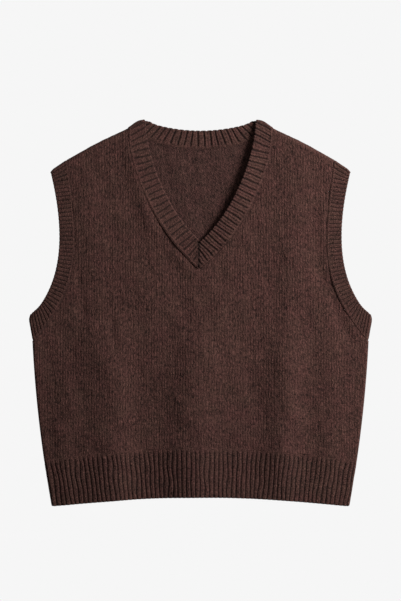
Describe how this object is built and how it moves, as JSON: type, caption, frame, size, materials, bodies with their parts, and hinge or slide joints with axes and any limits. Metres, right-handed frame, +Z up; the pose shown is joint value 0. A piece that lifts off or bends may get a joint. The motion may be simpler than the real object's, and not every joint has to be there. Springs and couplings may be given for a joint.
{
  "type": "knitted sweater vest",
  "caption": "Sleeveless V-neck knitted pullover laid flat, front up, with a rib hem, a lapped rib neckband and rib armhole bands.",
  "frame": {"origin": "centre of the vest's outline, on the surface that the back lies on", "axes": "+X across the vest, +Y up the vest towards the neck, +Z up from the surface, out of the front"},
  "size_m": [0.515, 0.58, 0.0109],
  "materials": {
    "body_knit": "matt plain knit of brown wool, slightly hairy",
    "rib_knit": "matt rib knit of brown wool, slightly hairy"
  },
  "bodies": {
    "root": {"front_body": "body_knit", "back_body": "body_knit", "front_hem_rib": "rib_knit", "back_hem_rib": "rib_knit", "neckband": "rib_knit", "armhole_band_right": "rib_knit", "armhole_band_left": "rib_knit"}
  },
  "joints": []
}
